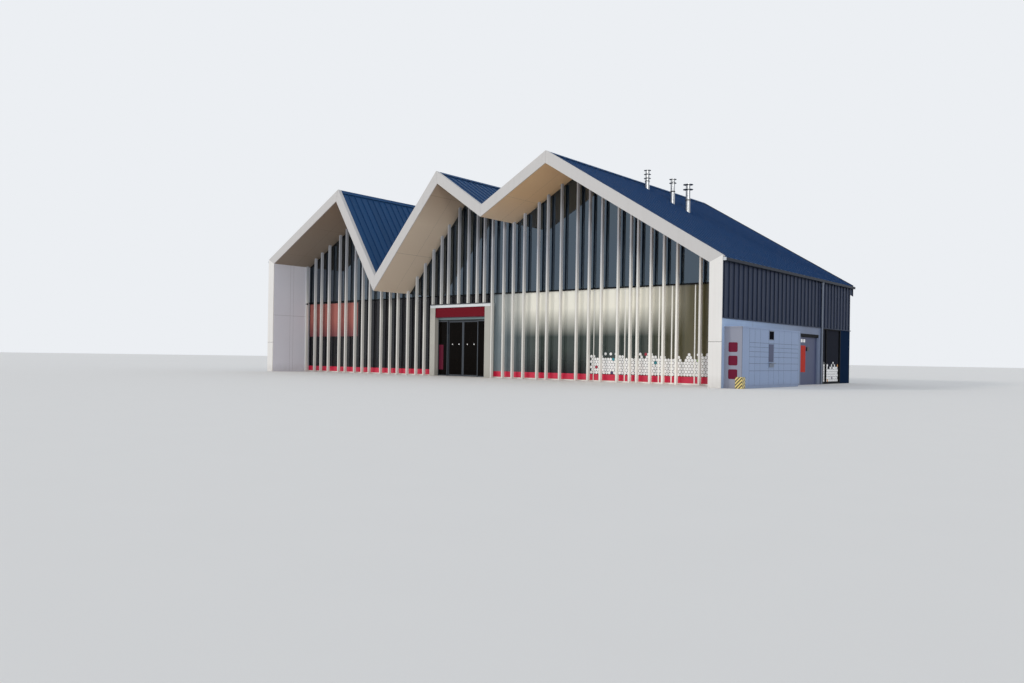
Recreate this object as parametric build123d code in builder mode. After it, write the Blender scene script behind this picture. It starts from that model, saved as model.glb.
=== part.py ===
"""Supermarket building with a folded three-gable roof and a recessed glass front.

Frame: millimetres, +Z up, +X to the right along the front, +Y from the front
towards the back. The origin lies on the ground, in the middle of the plan.
A distance "across" is measured from the right corner towards the left, and a
distance "back" from the front edge of the roof towards the rear.
"""

import math
import os

from build123d import *

# Plan and heights of the folded roof, at its outer edge
WIDTH = 28800.0
LENGTH = 14600.0
LEFT_EAVE_HEIGHT = 6555.0
RIGHT_EAVE_HEIGHT = 4875.0
RIDGE_HEIGHT = 9935.0
LEFT_VALLEY_HEIGHT = 5115.0
RIGHT_VALLEY_HEIGHT = 7990.0
RIGHT_RIDGE_ACROSS = 8260.0
RIGHT_VALLEY_ACROSS = 11980.0
MIDDLE_RIDGE_ACROSS = 14915.0
LEFT_VALLEY_ACROSS = 19325.0
LEFT_RIDGE_ACROSS = 22410.0

# Layers of the roof, measured square to each slope from its outer edge
BAND_THICKNESS = 470.0
ROOFING_DROP = 60.0
ROOFING_SHEET = 12.0
SOFFIT_THICKNESS = 30.0
BAND_DEPTH = 40.0
BAND_RETURN_DEPTH = 160.0
PIER_WIDTH = 520.0
RIDGE_CAP_DROP = 6.0
RIDGE_CAP_REACH = 190.0
VALLEY_REACH = 160.0
PANEL_JOINT = 8.0

# Standing seams of the roof and of the side walls
FIRST_SEAM = 165.0
ROOF_SEAM_PITCH = 430.0
WALL_SEAM_PITCH = 420.0
SEAM_WIDTH = 28.0
SEAM_HEIGHT = 38.0

# Outer walls
WALL_THICKNESS = 300.0
WALL_INSET = 40.0
PLINTH_HEIGHT = 2600.0
PLINTH_PROUD = 20.0
RECESS_DEPTH = 2550.0
REAR_INSET = 320.0
REAR_TRIM_DEPTH = 60.0
FLOOR_THICKNESS = 20.0
THRESHOLD_CHAMFER = 12.0

# Glass front
GLASS_THICKNESS = 24.0
MULLION_WIDTH = 50.0
MULLION_DEPTH = 120.0
TRANSOM_HEIGHT = 4105.0
TRANSOM_SECTION = 60.0
SILL_HEIGHT = 60.0
BASE_PANEL_HEIGHT = 270.0
FIN_WIDTH = 80.0
FIN_DEPTH = 150.0
FIN_FRONT_BACK = 2270.0
JAMB_WIDTH = 80.0
PORTAL_FIN_GAP = 5.0

# Place of each fin as a share of the span it stands in, counted from the right
RIGHT_FIN_PLACES = [
    0.121, 0.203, 0.252, 0.300, 0.350, 0.378, 0.428, 0.495,
    0.547, 0.599, 0.670, 0.731, 0.774, 0.840, 0.892, 0.939,
]
ENTRANCE_FIN_PLACES = [0.117, 0.232, 0.376, 0.536, 0.711, 0.830, 0.974]
LEFT_FIN_PLACES = [
    0.048, 0.104, 0.167, 0.240, 0.298, 0.366, 0.456,
    0.513, 0.574, 0.652, 0.707, 0.798, 0.864, 0.920,
]

# Entrance portal and its sliding doors
PORTAL_RIGHT_ACROSS = 13300.0
PORTAL_WIDTH = 4180.0
PORTAL_HEIGHT = 3690.0
PORTAL_POST_WIDTH = 360.0
PORTAL_LINTEL_HEIGHT = 170.0
PORTAL_FRONT_BACK = 2250.0
PORTAL_POST_DEPTH = 250.0
PORTAL_RETURN_WIDTH = 50.0
SIGN_HEIGHT = 500.0
SIGN_SETBACK = 40.0
DOOR_HEAD_HEIGHT = 2850.0
LEAF_WIDTH = 1040.0
LEAF_THICKNESS = 40.0
LEAF_CLEARANCE = 8.0
LEAF_STILE = 60.0
LEAF_GLASS = 12.0
SIDELIGHT_FRAME = 45.0
LEAF_PLANE_GAP = 20.0
HEADER_DEPTH = 40.0
RAIL_SIZE = 24.0
HANGER_WIDTH = 120.0
HANGER_THICKNESS = 12.0
SEAT_GAP = 0.3

# Right-hand side wall
LOCKER_START_BACK = 280.0
LOCKER_LENGTH = 5480.0
LOCKER_DEPTH = 710.0
LOCKER_HEIGHT = 2270.0
LOCKER_KICK_HEIGHT = 110.0
LOCKER_KICK_DEPTH = 30.0
LOCKER_CAP = 50.0
LOCKER_CAP_REACH = 20.0
LOCKER_GROOVE = 10.0
LOCKER_GROOVE_DEPTH = 8.0
LOCKER_TALL_ROW = 1700.0
LOCKER_LOW_ROW = 650.0
LOCKER_SMALL_ROWS = [920.0, 1170.0, 1365.0, 1535.0]
LOCKER_FRONT_COLUMNS = [600.0, 1090.0, 1570.0, 2350.0]
LOCKER_REAR_COLUMNS = [2850.0, 3350.0, 3850.0, 4620.0, 5360.0]
REAR_PANEL_LENGTH = 1330.0
WINDOW_WIDTH = 2390.0
FRONT_PANEL_LENGTH = 360.0
NICHE_MARGIN = 280.0
NICHE_WIDTH = 2180.0
NICHE_HEIGHT = 2260.0
NICHE_PANEL_SETBACK = 90.0
SHUTTER_BOX_HEIGHT = 140.0
WINDOW_FRAME = 70.0
WINDOW_BAR_OFFSET = 450.0
WINDOW_BAR_WIDTH = 60.0

# Rainwater, flues and small fittings
GUTTER_WIDTH = 120.0
GUTTER_HEIGHT = 110.0
GUTTER_WALL = 8.0
DOWNPIPE_DIAMETER = 90.0
DOWNPIPE_OFFSET = 30.0
FLUE_BAY = 15
FLUES = [
    {"across": 7335.0, "diameter": 205.0, "height": 895.0, "cap": 340.0,
     "skirts": 2, "pitch": 195.0, "collar": 330.0},
    {"across": 5938.0, "diameter": 200.0, "height": 1138.0, "cap": 345.0,
     "skirts": 1, "pitch": 180.0, "collar": 545.0},
    {"across": 5128.0, "diameter": 210.0, "height": 1282.0, "cap": 470.0,
     "skirts": 1, "pitch": 228.0, "collar": 545.0},
]
FLUE_CAP_RISE = 30.0
FLUE_CAP_RIM = 15.0
FLUE_SKIRT_RISE = 60.0
FLUE_COLLAR_HEIGHT = 30.0
FLUE_COLLAR_PROUD = 14.0
GUARD_HEIGHT = 420.0
GUARD_WING = 260.0
GUARD_THICKNESS = 10.0

# Derived levels and planes
HALF_WIDTH = WIDTH / 2
FRONT = -LENGTH / 2
REAR = LENGTH / 2
SOFFIT_LEVEL = BAND_THICKNESS - SOFFIT_THICKNESS
DECK_TOP = ROOFING_DROP + ROOFING_SHEET
REAR_WALL_FACE = REAR - REAR_INSET
GLASS_BACK = RECESS_DEPTH
MULLION_BACK = GLASS_BACK + GLASS_THICKNESS
PORCH_BACK = MULLION_BACK + MULLION_DEPTH
WALL_FACE = HALF_WIDTH - WALL_INSET
WALL_INNER = WALL_FACE - WALL_THICKNESS
PIER_INNER = HALF_WIDTH - PIER_WIDTH

# Places along the right-hand side, counted from its rear corner
WINDOW_END_BACK = LENGTH - REAR_INSET - REAR_PANEL_LENGTH
WINDOW_START_BACK = WINDOW_END_BACK - WINDOW_WIDTH
PLINTH_END_BACK = WINDOW_START_BACK - FRONT_PANEL_LENGTH
NICHE_END_BACK = PLINTH_END_BACK - NICHE_MARGIN
NICHE_START_BACK = NICHE_END_BACK - NICHE_WIDTH


def x_at(across):
    """X of a point given by its distance from the right corner."""
    return HALF_WIDTH - across


def y_at(back):
    """Y of a point given by its distance behind the roof's front edge."""
    return FRONT + back


# Outline of the folded band, from the left foot over the roof to the right foot
OUTLINE = [
    (-HALF_WIDTH, 0.0),
    (-HALF_WIDTH, LEFT_EAVE_HEIGHT),
    (x_at(LEFT_RIDGE_ACROSS), RIDGE_HEIGHT),
    (x_at(LEFT_VALLEY_ACROSS), LEFT_VALLEY_HEIGHT),
    (x_at(MIDDLE_RIDGE_ACROSS), RIDGE_HEIGHT),
    (x_at(RIGHT_VALLEY_ACROSS), RIGHT_VALLEY_HEIGHT),
    (x_at(RIGHT_RIDGE_ACROSS), RIDGE_HEIGHT),
    (HALF_WIDTH, RIGHT_EAVE_HEIGHT),
    (HALF_WIDTH, 0.0),
]
LAST_RUN = len(OUTLINE) - 2
(LEFT_EAVE, LEFT_RIDGE, LEFT_VALLEY, MIDDLE_RIDGE,
 RIGHT_VALLEY, RIGHT_RIDGE, RIGHT_EAVE) = range(1, LAST_RUN + 1)
GABLES = {
    "left": (LEFT_EAVE, LEFT_RIDGE, LEFT_VALLEY),
    "middle": (LEFT_VALLEY, MIDDLE_RIDGE, RIGHT_VALLEY),
    "right": (RIGHT_VALLEY, RIGHT_RIDGE, RIGHT_EAVE),
}


def run_direction(run):
    """Unit vector along one run of the outline, and its inward normal."""
    (x0, z0), (x1, z1) = OUTLINE[run], OUTLINE[run + 1]
    size = math.hypot(x1 - x0, z1 - z0)
    along = ((x1 - x0) / size, (z1 - z0) / size)
    inward = (along[1], -along[0])
    return along, inward


def inset(run, depth):
    """How far a run moves inward for a roof depth: the piers are wider."""
    is_pier = run in (0, LAST_RUN)
    return depth * PIER_WIDTH / BAND_THICKNESS if is_pier else depth


def corner(vertex, depth):
    """Point on the fold line of a vertex, at a depth below the outer edge."""
    points = []
    for run in (vertex - 1, vertex):
        along, inward = run_direction(run)
        start = OUTLINE[run]
        step = inset(run, depth)
        origin = (start[0] + inward[0] * step, start[1] + inward[1] * step)
        points.append((origin, along))
    (p, u), (q, w) = points
    cross = u[0] * w[1] - u[1] * w[0]
    t = ((q[0] - p[0]) * w[1] - (q[1] - p[1]) * w[0]) / cross
    return p[0] + u[0] * t, p[1] + u[1] * t


def slope_height(run, x, depth):
    """Height of a sloping run at a given X and depth."""
    along, inward = run_direction(run)
    start = OUTLINE[run]
    px = start[0] + inward[0] * depth
    pz = start[1] + inward[1] * depth
    return pz + (x - px) * along[1] / along[0]


def at_x(run, x, depth):
    """Point of a sloping run at a given X and depth."""
    return x, slope_height(run, x, depth)


def run_at(x, depth):
    """Sloping run that covers a given X at a depth below the outer edge."""
    for run in range(LEFT_EAVE, RIGHT_EAVE - 1):
        if x < corner(run + 1, depth)[0]:
            return run
    return RIGHT_EAVE - 1


def under(x):
    """Height of the porch soffit at a given X."""
    return slope_height(run_at(x, BAND_THICKNESS), x, BAND_THICKNESS)


def fold_end(vertex, run, depth, gap):
    """Corner of a sloping run, drawn back along the slope by a gap."""
    x, z = corner(vertex, depth)
    along, _ = run_direction(run)
    sign = 1 if vertex == run else -1
    return x + sign * gap * along[0], z + sign * gap * along[1]


def slope_profile(run, top, bottom, start_gap=0.0, end_gap=0.0, start_x=None, end_x=None):
    """Four corners of a layer of one slope, mitred at its folds or cut at an X."""
    points = []
    for vertex, gap, cut in ((run, start_gap, start_x), (run + 1, end_gap, end_x)):
        pair = []
        for depth in (top, bottom):
            if cut is None:
                pair.append(fold_end(vertex, run, depth, gap))
            else:
                pair.append(at_x(run, cut, depth))
        points.append(pair)
    (a, b), (c, d) = points
    return [a, c, d, b]


def across_plane(y):
    """Plane at a given Y whose sketch axes are X and Z, facing the front."""
    return Plane(origin=(0, y, 0), x_dir=(1, 0, 0), z_dir=(0, -1, 0))


def add_prisms(points, y_starts, depth):
    """Add like prisms of an X and Z outline, each as deep along Y, in one go."""
    with BuildSketch(*[across_plane(y + depth) for y in y_starts]) as profile:
        with BuildLine():
            Polyline(*points, close=True)
        make_face()
    extrude(profile.sketch, amount=depth)


def add_prism(points, y_start, y_end):
    """Add a prism of an X and Z outline between two Y planes."""
    add_prisms(points, [y_start], y_end - y_start)


def add_block(x_low, x_high, y_low, y_high, z_low, z_high):
    """Add a block given by its lowest and highest corners."""
    middle = ((x_low + x_high) / 2, (y_low + y_high) / 2, (z_low + z_high) / 2)
    with Locations(middle):
        Box(x_high - x_low, y_high - y_low, z_high - z_low)


def save(part, name):
    """Label a finished piece and write its file."""
    part.label = name
    export_step(part, f"parts/{name}.step")


# Planes of the entrance portal, from its front to the sliding leaves
portal_left_across = PORTAL_RIGHT_ACROSS + PORTAL_WIDTH
portal_right_x = x_at(PORTAL_RIGHT_ACROSS)
portal_left_x = x_at(portal_left_across)
portal_front = y_at(PORTAL_FRONT_BACK)
post_back = portal_front + PORTAL_POST_DEPTH
lintel_foot = PORTAL_HEIGHT - PORTAL_LINTEL_HEIGHT
sign_foot = lintel_foot - SIGN_HEIGHT
inner_left_x = portal_left_x + PORTAL_POST_WIDTH
inner_right_x = portal_right_x - PORTAL_POST_WIDTH
left_pocket_x = portal_left_x + PORTAL_RETURN_WIDTH
right_pocket_x = portal_right_x - PORTAL_RETURN_WIDTH
header_back = post_back + HEADER_DEPTH
leaf_front = header_back + LEAF_PLANE_GAP
leaf_back = leaf_front + LEAF_THICKNESS
door_middle_x = (inner_left_x + inner_right_x) / 2
leaf_foot = FLOOR_THICKNESS + LEAF_CLEARANCE
leaf_head = DOOR_HEAD_HEIGHT - LEAF_CLEARANCE

os.makedirs("parts", exist_ok=True)

# Ground floor behind the glass line, with a chamfered threshold in the entrance
with BuildPart() as floor_slab:
    add_block(-WALL_INNER, WALL_INNER, y_at(PORCH_BACK), REAR_WALL_FACE - WALL_THICKNESS,
              0, FLOOR_THICKNESS)
    add_block(left_pocket_x, right_pocket_x, post_back, y_at(PORCH_BACK), 0, FLOOR_THICKNESS)
    add_block(inner_left_x, inner_right_x, portal_front, post_back, 0, FLOOR_THICKNESS)
    threshold = floor_slab.edges().filter_by(Axis.X).group_by(Axis.Y)[0].sort_by(Axis.Z)[-1]
    chamfer(threshold, THRESHOLD_CHAMFER)
save(floor_slab.part, "floor_slab")

# Front piers at both ends of the folded band
with BuildPart() as front_piers:
    for side_run, eave in ((0, LEFT_EAVE), (LAST_RUN, RIGHT_EAVE)):
        outer = OUTLINE[eave]
        inner = corner(eave, BAND_THICKNESS)
        add_prism([(outer[0], 0), outer, inner, (inner[0], 0)], y_at(0), y_at(BAND_DEPTH))
save(front_piers.part, "front_piers")

# Inner lining of the side walls beside the porch
with BuildPart() as wing_walls:
    for sign, run in ((-1, LEFT_EAVE), (1, RIGHT_EAVE - 1)):
        inner_x = sign * PIER_INNER
        outer_x = sign * WALL_INNER
        add_prism(
            [(inner_x, 0), (outer_x, 0), at_x(run, outer_x, SOFFIT_LEVEL),
             at_x(run, inner_x, SOFFIT_LEVEL)],
            y_at(BAND_DEPTH), y_at(PORCH_BACK))
save(wing_walls.part, "wing_walls")

# Sloping layers: front band, porch soffit, insulated deck and metal sheets
HALF_JOINT = PANEL_JOINT / 2
ROOF_START = y_at(BAND_DEPTH)
RETURN_END = ROOF_START + BAND_RETURN_DEPTH
ROOF_END = REAR - REAR_TRIM_DEPTH
SLOPES = range(LEFT_EAVE, RIGHT_EAVE)


def fold_gaps(run, at_ridge, at_valley):
    """Gaps at both ends of a slope: none at an eave."""
    gaps = []
    for vertex in (run, run + 1):
        if vertex in (LEFT_EAVE, RIGHT_EAVE):
            gaps.append(0)
        elif vertex in (LEFT_VALLEY, RIGHT_VALLEY):
            gaps.append(at_valley)
        else:
            gaps.append(at_ridge)
    return gaps


def eave_cuts(run, distance):
    """X of an upright cut at an eave, or none where the slope ends at a fold."""
    start_x = -distance if run == LEFT_EAVE else None
    end_x = distance if run + 1 == RIGHT_EAVE else None
    return start_x, end_x


# Each band is a front panel with a return that covers the edge of the metal sheets
with BuildPart() as fascia_bands:
    for run in SLOPES:
        gaps = fold_gaps(run, HALF_JOINT, HALF_JOINT)
        add_prism(slope_profile(run, 0, BAND_THICKNESS, *gaps), y_at(0), ROOF_START)
        add_prism(slope_profile(run, 0, ROOFING_DROP, *gaps, *eave_cuts(run, HALF_WIDTH)),
                  ROOF_START, RETURN_END)
save(fascia_bands.part, "fascia_bands")

with BuildPart() as porch_soffits:
    for run in SLOPES:
        add_prism(slope_profile(run, SOFFIT_LEVEL, BAND_THICKNESS,
                                *fold_gaps(run, HALF_JOINT, HALF_JOINT),
                                *eave_cuts(run, PIER_INNER)),
                  ROOF_START, y_at(PORCH_BACK))
save(porch_soffits.part, "porch_soffits")


def seam_starts(y_end, pitch):
    """Y of each standing seam between the front band and a rear end."""
    first = ROOF_START + FIRST_SEAM
    count = int((y_end - first - SEAM_WIDTH) // pitch) + 1
    return [first + seam * pitch for seam in range(count)]


# The decks end at the inner side of the walls, and at their face behind the rear wall
with BuildPart() as roof_decks:
    for run in SLOPES:
        for eave_x, y_start, y_end in ((WALL_INNER, ROOF_START, REAR_WALL_FACE),
                                       (WALL_FACE, REAR_WALL_FACE, ROOF_END)):
            add_prism(slope_profile(run, DECK_TOP, SOFFIT_LEVEL,
                                    *fold_gaps(run, HALF_JOINT, HALF_JOINT), *eave_cuts(run, eave_x)),
                      y_start, y_end)
save(roof_decks.part, "roof_decks")

# On each slope a flat metal tray with standing seams that run down it
for gable, (start, ridge, end) in GABLES.items():
    with BuildPart() as roofing:
        for run in (start, ridge):
            gaps = fold_gaps(run, HALF_JOINT, VALLEY_REACH)
            cuts = eave_cuts(run, HALF_WIDTH)
            add_prism(slope_profile(run, ROOFING_DROP, DECK_TOP, *gaps, *cuts), ROOF_START, ROOF_END)
            add_prisms(slope_profile(run, ROOFING_DROP - SEAM_HEIGHT, ROOFING_DROP, *gaps, *cuts),
                       seam_starts(ROOF_END, ROOF_SEAM_PITCH), SEAM_WIDTH)
    save(roofing.part, f"{gable}_gable_roofing")

# Folded caps over the ridges
with BuildPart() as ridge_caps:
    for vertex in (LEFT_RIDGE, MIDDLE_RIDGE, RIGHT_RIDGE):
        seam_top = ROOFING_DROP - SEAM_HEIGHT
        points = [
            fold_end(vertex, vertex - 1, RIDGE_CAP_DROP, RIDGE_CAP_REACH),
            corner(vertex, RIDGE_CAP_DROP),
            fold_end(vertex, vertex, RIDGE_CAP_DROP, RIDGE_CAP_REACH),
            fold_end(vertex, vertex, seam_top, RIDGE_CAP_REACH),
            corner(vertex, seam_top),
            fold_end(vertex, vertex - 1, seam_top, RIDGE_CAP_REACH),
        ]
        add_prism(points, RETURN_END, ROOF_END)
save(ridge_caps.part, "ridge_caps")

# Lined valley gutters between the gables
with BuildPart() as valley_gutters:
    for vertex in (LEFT_VALLEY, RIGHT_VALLEY):
        points = [
            fold_end(vertex, vertex - 1, ROOFING_DROP, VALLEY_REACH),
            corner(vertex, ROOFING_DROP),
            fold_end(vertex, vertex, ROOFING_DROP, VALLEY_REACH),
            fold_end(vertex, vertex, DECK_TOP, VALLEY_REACH),
            corner(vertex, DECK_TOP),
            fold_end(vertex, vertex - 1, DECK_TOP, VALLEY_REACH),
        ]
        add_prism(points, ROOF_START, ROOF_END)
save(valley_gutters.part, "valley_gutters")

# Verge trim along the rear edge of the roof
with BuildPart() as rear_verge_trim:
    for run in SLOPES:
        add_prism(slope_profile(run, 0, BAND_THICKNESS, *fold_gaps(run, HALF_JOINT, HALF_JOINT),
                                *eave_cuts(run, HALF_WIDTH)),
                  ROOF_END, REAR)
save(rear_verge_trim.part, "rear_verge_trim")


def gutter_top(sign):
    """Level of an eaves gutter: its rim meets the edge of the metal sheets."""
    run = LEFT_EAVE if sign < 0 else RIGHT_EAVE - 1
    return slope_height(run, sign * HALF_WIDTH, DECK_TOP)


def side_cladding(sign, run):
    """Upper side wall with standing seams, on one side of the building."""
    with BuildPart() as wall:
        inner_x, outer_x = sign * WALL_INNER, sign * WALL_FACE
        add_prism(
            [(inner_x, PLINTH_HEIGHT), (outer_x, PLINTH_HEIGHT),
             at_x(run, outer_x, DECK_TOP), at_x(run, inner_x, DECK_TOP)],
            y_at(BAND_DEPTH), REAR_WALL_FACE)
        seam_x = sign * (WALL_FACE + SEAM_HEIGHT)
        seam_top = gutter_top(sign) - GUTTER_HEIGHT
        add_prisms([(outer_x, PLINTH_HEIGHT), (seam_x, PLINTH_HEIGHT), (seam_x, seam_top),
                    (outer_x, seam_top)],
                   seam_starts(REAR_WALL_FACE, WALL_SEAM_PITCH), SEAM_WIDTH)
    return wall.part


save(side_cladding(-1, LEFT_EAVE), "left_side_cladding")
save(side_cladding(1, RIGHT_EAVE - 1), "right_side_cladding")

# Plinth walls under the cladding
plinth_outer = WALL_FACE + PLINTH_PROUD
with BuildPart() as left_side_plinth:
    add_block(-plinth_outer, -WALL_INNER, y_at(BAND_DEPTH), REAR_WALL_FACE, 0, PLINTH_HEIGHT)
save(left_side_plinth.part, "left_side_plinth")

with BuildPart() as right_side_plinth:
    add_block(WALL_INNER, plinth_outer, y_at(BAND_DEPTH), y_at(PLINTH_END_BACK), 0, PLINTH_HEIGHT)
    with Locations(((WALL_INNER + plinth_outer) / 2, y_at((NICHE_START_BACK + NICHE_END_BACK) / 2),
                    NICHE_HEIGHT / 2)):
        Box(plinth_outer - WALL_INNER, NICHE_WIDTH, NICHE_HEIGHT, mode=Mode.SUBTRACT)
save(right_side_plinth.part, "right_side_plinth")

# Service niche: a fixed panel under a closed shutter box
with BuildPart() as service_niche_panel:
    add_block(WALL_INNER, plinth_outer - NICHE_PANEL_SETBACK, y_at(NICHE_START_BACK),
              y_at(NICHE_END_BACK), 0, NICHE_HEIGHT - SHUTTER_BOX_HEIGHT)
save(service_niche_panel.part, "service_niche_panel")

with BuildPart() as service_shutter_box:
    add_block(WALL_INNER, plinth_outer, y_at(NICHE_START_BACK), y_at(NICHE_END_BACK),
              NICHE_HEIGHT - SHUTTER_BOX_HEIGHT, NICHE_HEIGHT)
save(service_shutter_box.part, "service_shutter_box")

# Fixed window between two dark panels at the rear end of the right side
pane_outer = WALL_FACE - WINDOW_FRAME
bar_start = WINDOW_START_BACK + WINDOW_BAR_OFFSET
with BuildPart() as side_window_frame:
    add_block(WALL_INNER, WALL_FACE, y_at(WINDOW_START_BACK), y_at(WINDOW_END_BACK), 0, PLINTH_HEIGHT)
    with Locations(((WALL_INNER + WALL_FACE) / 2, y_at(WINDOW_START_BACK + WINDOW_WIDTH / 2),
                    PLINTH_HEIGHT / 2)):
        Box(WALL_THICKNESS, WINDOW_WIDTH - 2 * WINDOW_FRAME, PLINTH_HEIGHT - 2 * WINDOW_FRAME,
            mode=Mode.SUBTRACT)
    add_block(pane_outer, WALL_FACE, y_at(bar_start), y_at(bar_start + WINDOW_BAR_WIDTH),
              WINDOW_FRAME, PLINTH_HEIGHT - WINDOW_FRAME)
save(side_window_frame.part, "side_window_frame")

with BuildPart() as side_window_glass:
    add_block(pane_outer - GLASS_THICKNESS, pane_outer,
              y_at(WINDOW_START_BACK + WINDOW_FRAME), y_at(WINDOW_END_BACK - WINDOW_FRAME),
              WINDOW_FRAME, PLINTH_HEIGHT - WINDOW_FRAME)
save(side_window_glass.part, "side_window_glass")

with BuildPart() as right_side_dark_panels:
    add_block(WALL_INNER, WALL_FACE, y_at(PLINTH_END_BACK), y_at(WINDOW_START_BACK), 0, PLINTH_HEIGHT)
    add_block(WALL_INNER, WALL_FACE, y_at(WINDOW_END_BACK), REAR_WALL_FACE, 0, PLINTH_HEIGHT)
save(right_side_dark_panels.part, "right_side_dark_panels")

# Rear wall: plinth and three clad gables
rear_inner = REAR_WALL_FACE - WALL_THICKNESS
with BuildPart() as rear_plinth:
    add_block(-WALL_INNER, WALL_INNER, rear_inner, REAR_WALL_FACE, 0, PLINTH_HEIGHT)
save(rear_plinth.part, "rear_plinth")

with BuildPart() as rear_gable_walls:
    for start, ridge, end in GABLES.values():
        left_x = -WALL_INNER if start == LEFT_EAVE else corner(start, SOFFIT_LEVEL)[0] + HALF_JOINT
        right_x = WALL_INNER if end == RIGHT_EAVE else corner(end, SOFFIT_LEVEL)[0] - HALF_JOINT
        add_prism(
            [(left_x, PLINTH_HEIGHT), at_x(start, left_x, SOFFIT_LEVEL),
             corner(ridge, SOFFIT_LEVEL), at_x(ridge, right_x, SOFFIT_LEVEL),
             (right_x, PLINTH_HEIGHT)],
            rear_inner, REAR_WALL_FACE)
save(rear_gable_walls.part, "rear_gable_walls")


def bar_profile(low_x, high_x, foot):
    """Outline of an upright bar whose head follows the porch soffit."""
    return [(low_x, foot), (high_x, foot), (high_x, under(high_x)), (low_x, under(low_x))]


def bar_middles(places, high_x, low_x):
    """X of the bars that stand at shares of a span, counted from its right end."""
    return [high_x - place * (high_x - low_x) for place in places]


front_spans = [(-PIER_INNER, portal_left_x), (portal_right_x, PIER_INNER)]
full_bars = (bar_middles(RIGHT_FIN_PLACES, PIER_INNER, portal_right_x)
             + [portal_right_x + PORTAL_FIN_GAP + FIN_WIDTH / 2]
             + bar_middles(LEFT_FIN_PLACES, portal_left_x, -PIER_INNER))
short_bars = bar_middles(ENTRANCE_FIN_PLACES, portal_right_x, portal_left_x)

# Upright fins in front of the glass, and a jamb against each wing wall
with BuildPart() as facade_fins:
    for bars, foot in ((full_bars, 0), (short_bars, PORTAL_HEIGHT)):
        for middle in bars:
            add_prism(bar_profile(middle - FIN_WIDTH / 2, middle + FIN_WIDTH / 2, foot),
                      y_at(FIN_FRONT_BACK), y_at(FIN_FRONT_BACK + FIN_DEPTH))
    for low_x in (-PIER_INNER, PIER_INNER - JAMB_WIDTH):
        add_prism(bar_profile(low_x, low_x + JAMB_WIDTH, 0),
                  y_at(FIN_FRONT_BACK), y_at(FIN_FRONT_BACK + FIN_DEPTH))
save(facade_fins.part, "facade_fins")

# Slim mullions behind the glass
with BuildPart() as glazing_mullions:
    for bars, foot in ((full_bars, SILL_HEIGHT), (short_bars, PORTAL_HEIGHT)):
        for middle in bars:
            add_prism(bar_profile(middle - MULLION_WIDTH / 2, middle + MULLION_WIDTH / 2, foot),
                      y_at(MULLION_BACK), y_at(PORCH_BACK))
save(glazing_mullions.part, "glazing_mullions")

# Transom cap across the whole front
with BuildPart() as glazing_transom:
    add_block(-PIER_INNER, PIER_INNER, y_at(GLASS_BACK - TRANSOM_SECTION), y_at(GLASS_BACK),
              TRANSOM_HEIGHT, TRANSOM_HEIGHT + TRANSOM_SECTION)
save(glazing_transom.part, "glazing_transom")

# Sill rails and red base panels, left and right of the entrance
with BuildPart() as sill_rails:
    for low_x, high_x in front_spans:
        add_block(low_x, high_x, y_at(GLASS_BACK - TRANSOM_SECTION), y_at(PORCH_BACK), 0, SILL_HEIGHT)
save(sill_rails.part, "sill_rails")

base_top = SILL_HEIGHT + BASE_PANEL_HEIGHT
with BuildPart() as base_panels:
    for low_x, high_x in front_spans:
        add_block(low_x, high_x, y_at(GLASS_BACK), y_at(MULLION_BACK), SILL_HEIGHT, base_top)
save(base_panels.part, "base_panels")

# Lower glazing up to the middle of the transom, also over the entrance
transom_middle = TRANSOM_HEIGHT + TRANSOM_SECTION / 2
with BuildPart() as lower_glazing:
    for low_x, high_x in front_spans:
        add_block(low_x, high_x, y_at(GLASS_BACK), y_at(MULLION_BACK), base_top, transom_middle)
    add_block(portal_left_x + PANEL_JOINT, portal_right_x - PANEL_JOINT,
              y_at(GLASS_BACK), y_at(MULLION_BACK), PORTAL_HEIGHT, transom_middle)
save(lower_glazing.part, "lower_glazing")

# Upper glazing under the folded soffit
with BuildPart() as upper_glazing:
    for start, ridge, end in GABLES.values():
        left_x = -PIER_INNER if start == LEFT_EAVE else corner(start, BAND_THICKNESS)[0] + HALF_JOINT
        right_x = PIER_INNER if end == RIGHT_EAVE else corner(end, BAND_THICKNESS)[0] - HALF_JOINT
        add_prism(
            [(left_x, transom_middle), at_x(start, left_x, BAND_THICKNESS),
             corner(ridge, BAND_THICKNESS), at_x(ridge, right_x, BAND_THICKNESS),
             (right_x, transom_middle)],
            y_at(GLASS_BACK), y_at(MULLION_BACK))
save(upper_glazing.part, "upper_glazing")

# Entrance portal: each post is a front panel with a return back to the glass
with BuildPart() as entrance_posts:
    add_block(portal_left_x, inner_left_x, portal_front, post_back, 0, lintel_foot)
    add_block(portal_left_x, left_pocket_x, post_back, y_at(PORCH_BACK), 0, lintel_foot)
    add_block(inner_right_x, portal_right_x, portal_front, post_back, 0, lintel_foot)
    add_block(right_pocket_x, portal_right_x, post_back, y_at(PORCH_BACK), 0, lintel_foot)
save(entrance_posts.part, "entrance_posts")

with BuildPart() as entrance_lintel:
    add_block(portal_left_x, portal_right_x, portal_front, y_at(PORCH_BACK), lintel_foot, PORTAL_HEIGHT)
save(entrance_lintel.part, "entrance_lintel")

# Bare red sign box under the lintel
with BuildPart() as entrance_sign_box:
    add_block(inner_left_x, inner_right_x, portal_front + SIGN_SETBACK, post_back, sign_foot, lintel_foot)
save(entrance_sign_box.part, "entrance_sign_box")

# Door header with the rail that carries the leaves
rail_level = (DOOR_HEAD_HEIGHT + sign_foot) / 2
with BuildPart() as entrance_header:
    add_block(left_pocket_x, right_pocket_x, post_back, header_back, DOOR_HEAD_HEIGHT, lintel_foot)
    add_block(left_pocket_x, right_pocket_x, header_back, leaf_front, rail_level, rail_level + RAIL_SIZE)
save(entrance_header.part, "entrance_header")

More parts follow.
